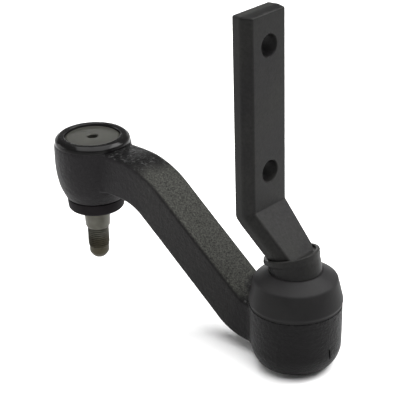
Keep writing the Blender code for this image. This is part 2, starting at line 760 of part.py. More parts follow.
def make_nut(seat):
    """Hexagon nut on the stem, drilled across for its pin."""
    mesh = bpy.data.meshes.new("stem_nut")
    shape = bmesh.new()
    corner = NUT_FLATS / math.sqrt(3)
    bmesh.ops.create_cone(shape, cap_ends=True, segments=6, radius1=corner, radius2=corner, depth=NUT_HEIGHT)
    shape.to_mesh(mesh)
    shape.free()
    piece = place_mesh("stem_nut", mesh, seat)
    piece.location = (0.0, 0.0, NUT_BASE + NUT_HEIGHT / 2)
    bore = STEM_THREAD_RADIUS + GAP
    cut(piece, drill("nut_thread", bore, NUT_HEIGHT * 2, piece.location, seat, steps=MEDIUM))
    cut(piece, drill("nut_pin_hole", NUT_PIN_RADIUS + GAP, NUT_FLATS * 2, piece.location, seat, "X"))
    return piece


def make_nut_pin(seat):
    """Straight pin through nut and stem, just short of the nut's flats."""
    mesh = bpy.data.meshes.new("nut_pin")
    shape = bmesh.new()
    radius = NUT_PIN_RADIUS
    length = NUT_FLATS - 2 * GAP
    bmesh.ops.create_cone(shape, cap_ends=True, segments=12, radius1=radius, radius2=radius, depth=length)
    shape.to_mesh(mesh)
    shape.free()
    piece = place_mesh("nut_pin", mesh, seat)
    piece.location = (0.0, 0.0, NUT_BASE + NUT_HEIGHT / 2)
    piece.rotation_euler = (0.0, math.pi / 2, 0.0)
    return piece


def make_pivot_pieces(seat):
    """What the pivot housing holds, from its floor up."""
    steel = ((0.45, 0.45, 0.44), 0.35, 1.0)
    sintered = ((0.30, 0.25, 0.19), 0.60, 0.8)
    rubber = ((0.02, 0.02, 0.02), 0.60, 0.0)
    finish(make_disc_spring(seat), (0.30, 0.30, 0.31), 0.35, 1.0)
    finish(make_lower_bearing(seat), *sintered)
    finish(make_nut(seat), *steel)
    finish(make_nut_pin(seat), *steel)
    bore = STEM_THREAD_RADIUS + GAP
    outer = PIVOT_BORE - WASHER_CLEARANCE
    finish(ring("lower_thrust_washer", outer, bore, LOWER_WASHER_BASE, WASHER_THICK, seat), *steel)
    bore = JOURNAL_RADIUS + GAP
    outer = PIVOT_BORE - GAP
    finish(ring("upper_bearing", outer, bore, UPPER_BEARING_BASE, UPPER_BEARING_HEIGHT, seat), *sintered)
    finish(make_retainer(seat), (0.20, 0.20, 0.20), 0.45, 1.0)
    groove = RETAINER_BASE + O_RING_RISE
    finish(o_ring("retainer_o_ring", outer - O_RING_WIRE, O_RING_WIRE, groove, seat), *rubber)
    finish(o_ring("stem_o_ring", bore + O_RING_WIRE, O_RING_WIRE, groove, seat), *rubber)
    outer = NECK_RADIUS - GAP
    finish(ring("upper_thrust_washer", outer, bore, UPPER_WASHER_BASE, UPPER_WASHER_THICK, seat), *steel)


def make_cover(ball):
    """Steel disc, chamfered where the lip is rolled over it, with the grease port in its middle."""
    rim = COVER_POCKET - GAP
    profile = [
        (PORT_RADIUS, COVER_TOP),
        (LIP_RADIUS - GAP, COVER_TOP),
        (rim, COVER_TOP - COVER_CHAMFER),
        (rim, COVER_BASE),
        (PORT_RADIUS, COVER_BASE),
    ]
    return finish(turned("stud_cover", profile, ball, FINE, closed=True), (0.33, 0.34, 0.29), 0.4, 1.0)


def make_stud_spring(ball):
    """Conical coil spring between cover and pressure seat."""
    bottom = PRESSURE_SEAT_TOP + GAP + STUD_SPRING_WIRE
    top = COVER_BASE - GAP - STUD_SPRING_WIRE
    large = STUD_BORE - STUD_SPRING_CLEARANCE
    count = int(STUD_SPRING_TURNS * 14)
    curve = bpy.data.curves.new("stud_spring", "CURVE")
    curve.dimensions = "3D"
    spline = curve.splines.new("POLY")
    spline.points.add(count)
    for i, point in enumerate(spline.points):
        share = i / count
        radius = large + (STUD_SPRING_SMALL - large) * share
        angle = 2 * math.pi * STUD_SPRING_TURNS * share
        height = bottom + (top - bottom) * share
        point.co = (radius * math.cos(angle), radius * math.sin(angle), height, 1.0)
    curve.bevel_depth = STUD_SPRING_WIRE
    curve.bevel_resolution = 2
    curve.use_fill_caps = True
    return finish(place_mesh("stud_spring", curve, ball), (0.25, 0.25, 0.26), 0.35, 1.0)


def make_seats(ball):
    """The two seats that hold the ball in the housing's bore."""
    outer = STUD_BORE - GAP
    profile = arc(SOCKET_RADIUS, 0.0, -SEAT_RIM_ANGLE, 0.0, 5)
    profile += [
        (outer, 0.0),
        (outer, -LOWER_SEAT_HEIGHT),
        (SOCKET_RADIUS * math.cos(SEAT_RIM_ANGLE), -LOWER_SEAT_HEIGHT),
    ]
    finish(turned("lower_seat", profile, ball, MEDIUM, closed=True), (0.30, 0.25, 0.19), 0.6, 0.8)
    low = math.asin(PRESSURE_SEAT_LOW / SOCKET_RADIUS)
    high = math.asin(PRESSURE_SEAT_TOP / SOCKET_RADIUS)
    profile = [(outer, PRESSURE_SEAT_TOP), (outer, PRESSURE_SEAT_LOW)]
    profile += arc(SOCKET_RADIUS, 0.0, low, high, 6)
    finish(turned("pressure_seat", profile, ball, MEDIUM, closed=True), (0.40, 0.38, 0.33), 0.5, 0.0)


def make_half_ball(ball):
    """Half-ball bearing: the lower half of the ball, bored for the stud."""
    bore = STUD_JOURNAL + GAP
    flat = GAP / 2
    start = -math.asin(flat / BALL_RADIUS)
    end = -math.asin(HALF_BALL_DROP / BALL_RADIUS)
    profile = [(bore, -flat)]
    profile += arc(BALL_RADIUS, 0.0, start, end, 6)
    profile.append((bore, -HALF_BALL_DROP))
    return finish(turned("half_ball", profile, ball, MEDIUM, closed=True), (0.35, 0.35, 0.34), 0.3, 1.0)


def make_stud(ball):
    """Ball stud: domed head on the half ball, journal, seat taper, thread and drilled plain tail."""
    flat = GAP / 2
    start = math.asin(HEAD_TOP / BALL_RADIUS)
    end = math.asin(flat / BALL_RADIUS)
    profile = [(0.0, HEAD_TOP)]
    profile += arc(BALL_RADIUS, 0.0, start, end, 6)
    journal_end = TAPER_TOP_DROP - (TAPER_TOP_RADIUS - STUD_JOURNAL)
    profile += [
        (STUD_JOURNAL, flat),
        (STUD_JOURNAL, -journal_end),
        (TAPER_TOP_RADIUS, -TAPER_TOP_DROP),
        (TAPER_END_RADIUS, -TAPER_END_DROP),
        (THREAD_RADIUS, -TAPER_END_DROP - THREAD_CHAMFER),
        (THREAD_RADIUS, -THREAD_END_DROP),
        (TAIL_RADIUS, -TAIL_TOP_DROP),
        (TAIL_RADIUS, -TAIL_END_DROP),
        (TAIL_RADIUS - STUD_TIP_ROUND / 2, -TAIL_END_DROP - STUD_TIP_ROUND),
        (STUD_TIP_RADIUS, -STUD_LENGTH),
        (0.0, -STUD_LENGTH),
    ]
    piece = turned("ball_stud", profile, ball, MEDIUM)
    place = (0.0, 0.0, -(TAIL_TOP_DROP + TAIL_END_DROP) / 2)
    length = THREAD_RADIUS * 4
    cut(piece, drill("split_pin_hole", PIN_HOLE_RADIUS, length, place, ball, "X", PIN_HOLE_TURN))
    return finish(piece, (0.36, 0.37, 0.32), 0.4, 1.0)


def make_boot(ball):
    """Dust boot: short cup under the housing's foot, its floor close round the stud."""
    top = -FOOT_DROP - GAP
    base = top - BOOT_HEIGHT
    taper = (TAPER_TOP_RADIUS - TAPER_END_RADIUS) / TAPER_LENGTH
    grip = TAPER_TOP_RADIUS + GAP - taper * max(-base - BOOT_WALL - TAPER_TOP_DROP, 0.0)
    inside = BOOT_RADIUS - BOOT_WALL
    profile = [(inside, top), (BOOT_RADIUS, top)]
    profile += corner_arc((BOOT_RADIUS - BOOT_ROUND, base + BOOT_ROUND), BOOT_ROUND, 0.0, -math.pi / 2, 3)
    profile += [
        (grip, base),
        (grip, base + BOOT_WALL),
        (inside, base + BOOT_WALL),
    ]
    return finish(turned("dust_boot", profile, ball, FINE, closed=True), (0.012, 0.011, 0.013), 0.6, 0.0)


mount_face = Vector((0.0, BAR_SETBACK + BAR_THICK, (LOW_HOLE_HEIGHT + HIGH_HOLE_HEIGHT) / 2))
pivot_axis = axis_empty("pivot_axis", -mount_face)
ball_centre = axis_empty("ball_centre", (0.0, STUD_REACH, BALL_HEIGHT), pivot_axis)

make_bracket(pivot_axis)
make_seal(pivot_axis)
make_arm(pivot_axis, ball_centre)
make_pivot_pieces(pivot_axis)
make_cover(ball_centre)
make_stud_spring(ball_centre)
make_seats(ball_centre)
make_half_ball(ball_centre)
make_stud(ball_centre)
make_boot(ball_centre)
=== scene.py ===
import json
import math

import bmesh
import bpy
from mathutils import Matrix, Quaternion, Vector, noise


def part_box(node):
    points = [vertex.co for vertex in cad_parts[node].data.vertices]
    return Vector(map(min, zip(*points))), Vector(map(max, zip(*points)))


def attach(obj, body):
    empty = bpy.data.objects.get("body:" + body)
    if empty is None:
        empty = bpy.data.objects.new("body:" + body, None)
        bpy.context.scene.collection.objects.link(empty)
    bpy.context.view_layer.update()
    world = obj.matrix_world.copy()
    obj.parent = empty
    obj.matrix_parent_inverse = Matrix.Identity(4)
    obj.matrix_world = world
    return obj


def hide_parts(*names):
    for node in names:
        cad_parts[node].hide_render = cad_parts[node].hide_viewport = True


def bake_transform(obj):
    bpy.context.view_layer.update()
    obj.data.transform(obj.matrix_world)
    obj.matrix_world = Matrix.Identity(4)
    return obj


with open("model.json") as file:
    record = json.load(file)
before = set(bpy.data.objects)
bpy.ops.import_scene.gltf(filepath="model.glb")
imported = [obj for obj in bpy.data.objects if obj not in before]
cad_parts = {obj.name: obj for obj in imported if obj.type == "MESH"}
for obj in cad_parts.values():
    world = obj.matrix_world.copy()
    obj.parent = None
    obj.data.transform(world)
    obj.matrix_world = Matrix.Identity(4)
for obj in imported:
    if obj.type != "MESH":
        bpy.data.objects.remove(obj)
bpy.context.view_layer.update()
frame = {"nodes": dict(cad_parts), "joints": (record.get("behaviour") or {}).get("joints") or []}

# Bracket: a forged steel bar that bolts to the frame rail, bent forward into a leg, a collar and a round
# neck. Below the neck its turned stem reaches down into the pivot housing. Satin black paint, with a strip
# of painted shade on the sheared top end and painted highlights along that strip's edges.
joints = {joint["name"]: Vector(joint["pos_m"]) for joint in frame["joints"]}
bracket_low, bracket_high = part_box("bracket")
arm_low, arm_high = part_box("arm_forging")
pivot = Vector((0.0, joints["arm_swing"].y, arm_low.z))

bar_width = bracket_high.x - bracket_low.x
bar_thick = 0.0123
bar_front_draft = 0.00225
bar_back_draft = 0.0010
bar_parting = 0.0060
bar_round = 0.0012
hole_radius = 0.00595
hole_rise = 0.03405
hole_edge = 0.0005

bend_height = pivot.z + 0.0876
bend_radius = 0.0018
bend_steps = 12
heel_radius = 0.0045
leg_angle = math.radians(45)
leg_length = 0.0327
leg_taper = 0.775


def start_face(shape, points):
    """The flat outline that a forging is drawn out from."""
    return shape.faces.new([shape.verts.new(point) for point in points])


def draw_out(shape, face):
    """Extrudes a face on the spot and gives the new face and its corners."""
    made = bmesh.ops.extrude_face_region(shape, geom=[face, *face.edges])["geom"]
    corners = [part for part in made if isinstance(part, bmesh.types.BMVert)]
    return next(part for part in made if isinstance(part, bmesh.types.BMFace)), corners


def steep_edges(shape, degrees):
    """Edges where two faces meet by more than that angle."""
    limit = math.radians(degrees)
    return [edge for edge in shape.edges if edge.is_manifold and edge.calc_face_angle() > limit]


def round_over(shape, parts, offset, segments, affect="EDGES"):
    bmesh.ops.bevel(shape, geom=parts, offset=offset, offset_type="OFFSET", segments=segments, profile=0.5,
                    affect=affect, clamp_overlap=False, material=-1)


def make_piece(name, shape, degrees=35):
    """An object from a bmesh, shaded smooth with its steeper edges kept sharp."""
    mesh = bpy.data.meshes.new(name)
    shape.to_mesh(mesh)
    shape.free()
    mesh.shade_smooth()
    mesh.set_sharp_from_angle(angle=math.radians(degrees))
    piece = bpy.data.objects.new(name, mesh)
    bpy.context.scene.collection.objects.link(piece)
    return piece


def settle(piece):
    """Turns the piece's modifiers into mesh."""
    graph = bpy.context.evaluated_depsgraph_get()
    mesh = bpy.data.meshes.new_from_object(piece.evaluated_get(graph))
    piece.modifiers.clear()
    piece.data = mesh


def split_wide_faces(piece):
    """Splits many-sided faces into triangles, which a Boolean cuts more surely."""
    shape = bmesh.new()
    shape.from_mesh(piece.data)
    wide = [face for face in shape.faces if len(face.verts) > 4]
    bmesh.ops.triangulate(shape, faces=wide)
    shape.to_mesh(piece.data)
    shape.free()


def combine(piece, other, operation):
    """Joins another solid to the piece, or cuts it away, and removes it."""
    split_wide_faces(piece)
    split_wide_faces(other)
    step = piece.modifiers.new(operation, "BOOLEAN")
    step.operation = operation
    step.object = other
    step.solver = "EXACT"
    step.material_mode = "TRANSFER"
    settle(piece)
    bpy.data.objects.remove(other)


def turned(name, corners, axis, steps=96):
    """A turned solid from (radius, height, softness) corners, softness being how far a rounding reaches."""
    shape = bmesh.new()
    outline = [shape.verts.new((radius, 0.0, height)) for radius, height, soft in corners]
    shape.faces.new(outline)
    for corner, (radius, height, soft) in zip(outline, corners):
        if soft:
            round_over(shape, [corner], soft, 5, "VERTICES")
    bmesh.ops.delete(shape, geom=shape.faces[:], context="FACES_ONLY")
    centre_line = [edge for edge in shape.edges if all(vert.co.x < 1e-7 for vert in edge.verts)]
    bmesh.ops.delete(shape, geom=centre_line, context="EDGES")
    bmesh.ops.spin(shape, geom=shape.verts[:] + shape.edges[:], cent=(0.0, 0.0, 0.0), axis=(0.0, 0.0, 1.0),
                   angle=2 * math.pi, steps=steps, use_merge=True, use_duplicate=False)
    bmesh.ops.remove_doubles(shape, verts=shape.verts, dist=1e-6)
    bmesh.ops.recalc_face_normals(shape, faces=shape.faces)
    bmesh.ops.translate(shape, vec=axis, verts=shape.verts)
    return make_piece(name, shape)


def drill(name, radius, length, place, direction, segments=48):
    """A round cutter along a direction, centred on a place."""
    shape = bmesh.new()
    turn = Vector(direction).to_track_quat("Z", "Y").to_matrix().to_4x4()
    bmesh.ops.create_cone(shape, cap_ends=True, segments=segments, radius1=radius, radius2=radius,
                          depth=length, matrix=Matrix.Translation(place) @ turn)
    return make_piece(name, shape)


def heel_reach(tilt):
    """How far the bend's rounded heel lies from the bend's axis, at a tilt from the bar's level."""
    thick = bar_thick + bend_radius
    off = tilt - leg_angle / 2
    middle = (thick - heel_radius) / math.cos(leg_angle / 2)
    if abs(off) > leg_angle / 2 - math.atan(middle * math.sin(leg_angle / 2) / thick):
        return thick / math.cos(min(tilt, leg_angle - tilt))
    return middle * math.cos(off) + math.sqrt(heel_radius ** 2 - (middle * math.sin(off)) ** 2)


def bracket_bar():
    """Bar and leg: the drafted section is drawn down the bar, round the bend and out along the leg."""
    shape = bmesh.new()
    half = bar_width / 2
    widths = (
        (half - bar_front_draft, -bar_thick),
        (half, -bar_thick + bar_parting),
        (half - bar_back_draft, 0.0),
    )
    outline = [(x, y, bracket_high.z) for x, y in widths]
    outline += [(-x, y, bracket_high.z) for x, y in reversed(widths)]
    face = start_face(shape, outline)
    bend_axis = Vector((0.0, -bar_thick - bend_radius, bend_height + bend_radius * math.tan(leg_angle / 2)))
    face, corners = draw_out(shape, face)
    bmesh.ops.translate(shape, vec=(0.0, 0.0, bend_axis.z - bracket_high.z), verts=corners)
    reach = heel_reach(0.0)
    for step in range(1, bend_steps + 1):
        tilt = leg_angle * step / bend_steps
        face, corners = draw_out(shape, face)
        turn = Matrix.Rotation(-leg_angle / bend_steps, 3, "X")
        bmesh.ops.rotate(shape, cent=bend_axis, matrix=turn, verts=corners)
        seat = Matrix.Translation(bend_axis) @ Matrix.Rotation(-tilt, 4, "X")
        stretch = heel_reach(tilt) / reach
        bmesh.ops.scale(shape, vec=(1.0, stretch, 1.0), space=seat.inverted(), verts=corners)
        reach *= stretch
    face, corners = draw_out(shape, face)
    along = Vector((0.0, -math.sin(leg_angle), -math.cos(leg_angle)))
    bmesh.ops.translate(shape, vec=along * leg_length, verts=corners)
    bmesh.ops.scale(shape, vec=(leg_taper, 1.0, 1.0), verts=corners)
    bmesh.ops.recalc_face_normals(shape, faces=shape.faces)
    round_over(shape, steep_edges(shape, 25), bar_round, 4)
    return make_piece("bracket", shape)


neck_radius = 0.0138
neck_top = pivot.z + 0.0557
shoulder_height = pivot.z + 0.0401
collar_height = pivot.z + 0.0639
collar_tilt = math.radians(15)
collar_stations = (
    # share of the way up the neck, radius, lean
    (0.20, 0.01400, 0.0004),
    (0.50, 0.01420, 0.0012),
    (0.64, 0.01430, 0.0018),
    (0.71, 0.01465, 0.0023),
    (0.76, 0.01512, 0.0028),
    (1.00, 0.01510, 0.0029),
    (1.05, 0.01500, 0.0030),
    (1.085, 0.01475, 0.0031),
    (1.10, 0.01440, 0.0031),
    (1.10, 0.01370, 0.0031),
    (1.09, 0.01340, 0.0031),
    (0.95, 0.01310, 0.0031),
)


def bracket_neck():
    """Neck and collar: a round face drawn up from the shoulder, leaning back and tilting as it rises."""
    shape = bmesh.new()
    bmesh.ops.create_circle(shape, cap_ends=True, segments=96, radius=neck_radius - 0.0006)
    shape.faces.ensure_lookup_table()
    face = shape.faces[0]
    place = Matrix.Translation((pivot.x, pivot.y, shoulder_height))
    bmesh.ops.transform(shape, matrix=place, verts=shape.verts)
    radius = neck_radius - 0.0006
    rise = collar_height - neck_top
    rings = [((shoulder_height + 0.0006 - neck_top) / rise, neck_radius, 0.0), (0.0, neck_radius, 0.0)]
    for share, wide, lean in (*rings, *collar_stations):
        face, corners = draw_out(shape, face)
        seat = Matrix.Translation((pivot.x, pivot.y + lean, neck_top + rise * share))
        seat = seat @ Matrix.Rotation(-collar_tilt * min(max(share, 0.0), 1.0), 4, "X")
        move = seat @ Matrix.Diagonal((wide / radius, wide / radius, 1.0, 1.0)) @ place.inverted()
        bmesh.ops.transform(shape, matrix=move, verts=corners)
        place = seat
        radius = wide
    bmesh.ops.recalc_face_normals(shape, faces=shape.faces)
    return make_piece("neck", shape)


tongue_front = -0.0064
tongue_rounds = ((-0.0126, 0.0048), (0.0116, 0.0088))


def tongue_mask():
    """Everything but the corners of the leg's end, which is rounded where it meets the collar."""
    shape = bmesh.new()
    (left, left_round), (right, right_round) = tongue_rounds
    back = tongue_front + 0.0120
    outline = [(left, tongue_front), (right, tongue_front), (right, back), (0.030, back), (0.030, 0.060),
               (-0.030, 0.060), (-0.030, back), (left, back)]
    face = start_face(shape, [(x, pivot.y + y, -0.150) for x, y in outline])
    front_corners = list(face.verts)[:2]
    round_over(shape, front_corners[:1], left_round, 12, "VERTICES")
    round_over(shape, front_corners[1:], right_round, 16, "VERTICES")
    shape.faces.ensure_lookup_table()
    face, corners = draw_out(shape, shape.faces[0])
    bmesh.ops.translate(shape, vec=(0.0, 0.0, 0.300), verts=corners)
    bmesh.ops.recalc_face_normals(shape, faces=shape.faces)
    return make_piece("tongue_mask", shape)


bracket = bracket_bar()
combine(bracket, tongue_mask(), "INTERSECT")
combine(bracket, bracket_neck(), "UNION")
stem_outline = [
    (0.0, 0.0440, 0.0),
    (0.0095, 0.0440, 0.0),
    (0.0095, 0.0228, 0.0),
    (0.0077, 0.0228, 0.0003),
    (0.0077, 0.0157, 0.0),
    (0.0062, 0.0157, 0.0),
    (0.0062, 0.0109, 0.0006),
    (0.0, 0.0109, 0.0),
]
combine(bracket, turned("stem", stem_outline, pivot), "UNION")
for height in (-hole_rise, hole_rise):
    place = (0.0, -bar_thick / 2, height)
    bolt_hole = drill("bolt_hole", hole_radius, bar_thick * 2, place, (0.0, 1.0, 0.0), 64)
    combine(bracket, bolt_hole, "DIFFERENCE")


def soften_holes(piece):
    """Breaks the edges of the two bolt holes on both faces of the bar."""
    shape = bmesh.new()
    shape.from_mesh(piece.data)
    rims = []
    for edge in steep_edges(shape, 60):
        middle = (edge.verts[0].co + edge.verts[1].co) / 2
        away = math.hypot(middle.x, abs(middle.z) - hole_rise)
        if abs(away - hole_radius) < 0.0002:
            rims.append(edge)
    round_over(shape, rims, hole_edge, 3)
    shape.to_mesh(piece.data)
    shape.free()
    piece.data.shade_smooth()
    piece.data.set_sharp_from_angle(angle=math.radians(35))


soften_holes(bracket)


def new_finish(name, **settings):
    """A new Principled material with its plain settings."""
    finish = bpy.data.materials.new(name)
    finish.use_nodes = True
    shader = finish.node_tree.nodes["Principled BSDF"]
    for socket, value in settings.items():
        shader.inputs[socket.replace("_", " ").title().replace("Ior", "IOR")].default_value = value
    return finish


def add(finish, kind, inputs, **settings):
    """Adds a node to a finish, with values or other nodes' outputs on its inputs."""
    made = finish.node_tree.nodes.new("ShaderNode" + kind)
    for field, value in settings.items():
        setattr(made, field, value)
    for socket, value in inputs.items():
        if isinstance(value, bpy.types.NodeSocket):
            finish.node_tree.links.new(value, made.inputs[socket])
        else:
            made.inputs[socket].default_value = value
    return made


def object_place(finish):
    return add(finish, "TexCoord", {}).outputs["Object"]


def speckle(finish, place, scale, detail=3.0, rough=0.55):
    """Noise over the surface, scale in grains per metre."""
    made = add(finish, "TexNoise", {"Vector": place, "Scale": scale, "Detail": detail, "Roughness": rough})
    return made.outputs["Fac"]


def ramp(finish, factor, *stops):
    """Colours or greys over a factor, each stop a (place, colour)."""
    made = add(finish, "ValToRGB", {"Fac": factor})
    bar = made.color_ramp.elements
    while len(bar) < len(stops):
        bar.new(0.5)
    for element, (where, colour) in zip(bar, stops):
        element.position = where
        element.color = (*colour, 1.0) if isinstance(colour, tuple) else (colour, colour, colour, 1.0)
    return made.outputs["Color"]


def raise_grain(finish, layers):
    """Stacks bumps, each a (height, strength, distance) layer, and gives the last normal."""
    normal = None
    for height, strength, distance in layers:
        inputs = {"Height": height, "Strength": strength, "Distance": distance}
        if normal:
            inputs["Normal"] = normal
        normal = add(finish, "Bump", inputs).outputs["Normal"]
    return normal


def connect(finish, **outputs):
    """Joins outputs to the shader's sockets."""
    shader = finish.node_tree.nodes["Principled BSDF"]
    for socket, output in outputs.items():
        finish.node_tree.links.new(output, shader.inputs[socket.replace("_", " ").title()])


def look_up(finish):
    """How far a face looks up, in the piece's own space: 1 straight up, 0 level."""
    return add(finish, "SeparateXYZ", {"Vector": add(finish, "TexCoord", {}).outputs["Normal"]}).outputs["Z"]


def painted_overhead_light(finish, colour, steep, level):
    """Scales a colour by two shares, one on steep faces and one on faces that look up: painted light, darker
    on the sides and lighter on the tops.
    """
    share = add(finish, "MapRange", {"Value": look_up(finish), "From Min": 0.25, "From Max": 0.65,
                                     "To Min": steep, "To Max": level}).outputs[0]
    return add(finish, "VectorMath", {0: colour, 1: share}, operation="MULTIPLY").outputs[0]


def bracket_paint():
    """Satin black paint with a faint orange peel, painted shade across the sheared top end with painted
    highlights along its front and rear edges, and painted light on faces that look up.
    """
    paint = new_finish("bracket_paint", metallic=0.0, specular_ior_level=0.09)
    place = object_place(paint)
    patches = speckle(paint, place, 45.0, 4.0)
    peel = speckle(paint, place, 1100.0, 2.0)
    colour = ramp(paint, patches, (0.35, (0.0086, 0.0083, 0.0085)), (0.70, (0.0140, 0.0139, 0.0128)))
    parts = add(paint, "SeparateXYZ", {"Vector": place}).outputs
    wander = add(paint, "Math", {0: speckle(paint, place, 260.0), 1: 0.0050, 2: parts["Y"]},
                 operation="MULTIPLY_ADD").outputs[0]
    depth = add(paint, "MapRange", {"Value": wander, "From Min": -0.0100, "From Max": 0.0025}).outputs[0]
    # painted shade darkens the middle of the sheared top end, and painted highlights lighten its front and
    # rear edges a little
    painted_top_band = ramp(paint, depth, (0.02, 1.0), (0.14, 0.18), (0.52, 0.24), (0.60, 1.0))
    top = add(paint, "MapRange", {"Value": parts["Z"], "From Min": bracket_high.z - 0.0010,
                                  "From Max": bracket_high.z - 0.0005}).outputs[0]
    painted_top_band_change = add(paint, "Math", {0: painted_top_band, 1: 1.10, 2: -1.0}, operation="MULTIPLY_ADD").outputs[0]
    shade = add(paint, "Math", {0: painted_top_band_change, 1: top, 2: 1.0}, operation="MULTIPLY_ADD").outputs[0]
    mottle = add(paint, "MapRange", {"Value": speckle(paint, place, 620.0, 4.0, 0.65), "From Min": 0.3,
                                     "From Max": 0.7, "To Min": 0.72, "To Max": 1.28}).outputs[0]
    shade = add(paint, "Math", {0: shade, 1: mottle}, operation="MULTIPLY").outputs[0]
    colour = add(paint, "VectorMath", {0: colour, 1: shade}, operation="MULTIPLY").outputs[0]
    # painted light: faces that look up are lighter and steep faces darker
    colour = painted_overhead_light(paint, colour, 0.80, 1.27)
    rough = ramp(paint, patches, (0.30, 0.40), (0.72, 0.50))
    normal = raise_grain(paint, [(patches, 0.10, 0.0010), (peel, 0.30, 0.00020)])
    connect(paint, base_color=colour, roughness=rough, normal=normal)
    return paint


bracket.data.materials.clear()
bracket.data.materials.append(bracket_paint())
bracket.modifiers.new("even_faces", "WEIGHTED_NORMAL").keep_sharp = True
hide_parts("bracket")
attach(bracket, "bracket")

# Pivot seal: a moulded rubber cap that grips the bracket's neck and turns with it. Its skirt widens to a
# rounded lip on the housing's top. Dark grey satin rubber.
seal_low, seal_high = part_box("pivot_seal")
seal_lip = seal_high.x
seal_top = seal_high.z - pivot.z
seal_base = seal_low.z - pivot.z
seal_outline = [
    (neck_radius - 0.0001, seal_top, 0.0),
    (neck_radius + 0.0007, seal_top, 0.0003),
    (seal_lip - 0.0028, seal_top - 0.0046, 0.0009),
    (seal_lip, seal_base + 0.0024, 0.0006),
    (seal_lip - 0.0006, seal_base + 0.0008, 0.0004),
    (seal_lip - 0.0006, seal_base - 0.0002, 0.0),
    (seal_lip - 0.0040, seal_base - 0.0002, 0.0),
    (seal_lip - 0.0026, seal_base + 0.0026, 0.0),
    (seal_lip - 0.0054, seal_top - 0.0072, 0.0006),
    (neck_radius - 0.0001, seal_top - 0.0034, 0.0),
]
seal = turned("pivot_seal", seal_outline, pivot, 128)


def seal_rubber():
    """Dark grey moulded rubber with a dull bloom and faint ripples."""
    rubber = new_finish("seal_rubber", metallic=0.0, specular_ior_level=0.08)
    place = object_place(rubber)
    bloom = speckle(rubber, place, 70.0, 5.0)
    skin = speckle(rubber, place, 1500.0, 2.0)
    colour = ramp(rubber, bloom, (0.30, (0.0092, 0.0088, 0.0092)), (0.75, (0.0142, 0.0139, 0.0140)))
    # painted light: faces that look up are lighter and steep faces darker
    colour = painted_overhead_light(rubber, colour, 0.78, 1.30)
    rough = ramp(rubber, bloom, (0.30, 0.46), (0.75, 0.58))
    normal = raise_grain(rubber, [(bloom, 0.12, 0.0008), (skin, 0.12, 0.00008)])
    connect(rubber, base_color=colour, roughness=rough, normal=normal)
    return rubber


seal.data.materials.append(seal_rubber())
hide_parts("pivot_seal")
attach(seal, "bracket")

# Arm: one steel forging of pivot housing, cranked arm and stud housing, painted black. Its top and
# bottom are sandy where the flash was trimmed and blasted, and its sides are smooth. The housings are
# bored, and the stud housing's top edge is rolled over the cover and shines.
ball = joints["stud_tilt"]
arm_width = 0.0237
arm_thick = 0.0235
arm_crown = 0.0005
arm_edge = 0.0016
arm_corners = ((0.0, 0.0195), (0.0320, 0.0200), (0.1050, 0.0777), (0.1500, 0.0782))
arm_bends = (0.0220, 0.0400)
flare_radius = 0.0034
housing_radius = 0.0249
crown_radius = 0.0225
skin_grid = 0.00062
fairing = 3


def arm_blank():
    """The arm's bar: its section is drawn out along the crank, flaring where it meets each housing."""
    shape = bmesh.new()
    side = arm_width / 2
    edge = arm_thick / 2
    outline = [(-side, -edge), (0.0, -edge - arm_crown), (side, -edge), (side, edge),
               (0.0, edge + arm_crown), (-side, edge)]
    stops = [Vector((0.0, *corner)) + pivot for corner in arm_corners]
    headings = [(after - before).normalized() for before, after in zip(stops, stops[1:])]

    def seat(point, heading, wide=0.0):
        """Where a section goes: its place, its turn up the crank and its width."""
        tilt = math.atan2(heading.z, heading.y)
        spread = Matrix.Diagonal((1.0 + wide / side, 1.0, 1.0, 1.0))
        return Matrix.Translation(point) @ Matrix.Rotation(tilt, 4, "X") @ spread

    def flare(radius):
        """Where the arm's side leaves a housing of that radius, and how far the flare there turns."""
        return math.sqrt(radius ** 2 - side ** 2), math.pi / 2 - math.asin(side / radius)

    def on_run(run, reach):
        """A point of a straight run at a reach from the pivot."""
        start, end = stops[run], stops[run + 1]
        return start.lerp(end, (reach + pivot.y - start.y) / (end.y - start.y))

    seats = [seat(on_run(0, 0.008), headings[0])]
    wall, turn = flare(housing_radius)
    begin = wall + flare_radius * math.tan(turn / 2)
    for share in (1.0, 0.8, 0.6, 0.4, 0.2, 0.0):
        wide = flare_radius * (1.0 - math.cos(turn * share))
        seats.append(seat(on_run(0, begin - flare_radius * math.sin(turn * share)), headings[0], wide))
    for i, radius in enumerate(arm_bends):
        before, after = headings[i], headings[i + 1]
        span = before.angle(after)
        inward = (after - before).normalized()
        centre = stops[i + 1] + inward * radius / math.cos(span / 2)
        for step in range(13):
            share = step / 12
            heading = before.slerp(after, share)
            out = Vector((0.0, heading.z, -heading.y))
            if out.dot(inward) > 0.0:
                out.negate()
            seats.append(seat(centre + out * radius, heading))
    wall, turn = flare(crown_radius)
    begin = arm_corners[-1][0] - wall - flare_radius * math.tan(turn / 2)
    for share in (0.0, 0.2, 0.4, 0.6, 0.8, 1.0):
        wide = flare_radius * (1.0 - math.cos(turn * share))
        seats.append(seat(on_run(2, begin + flare_radius * math.sin(turn * share)), headings[2], wide))
    seats.append(seat(on_run(2, arm_corners[-1][0] - 0.008), headings[2]))

    face = start_face(shape, [(x, 0.0, z) for x, z in outline])
    keep = [corner for corner in face.verts if abs(corner.co.x) > side / 2]
    round_over(shape, keep, arm_edge, 4, "VERTICES")
    shape.faces.ensure_lookup_table()
    face = shape.faces[0]
    bmesh.ops.transform(shape, matrix=seats[0], verts=shape.verts)
    for before, after in zip(seats, seats[1:]):
        face, corners = draw_out(shape, face)
        bmesh.ops.transform(shape, matrix=after @ before.inverted(), verts=corners)
    bmesh.ops.recalc_face_normals(shape, faces=shape.faces)
    return make_piece("arm_forging", shape)


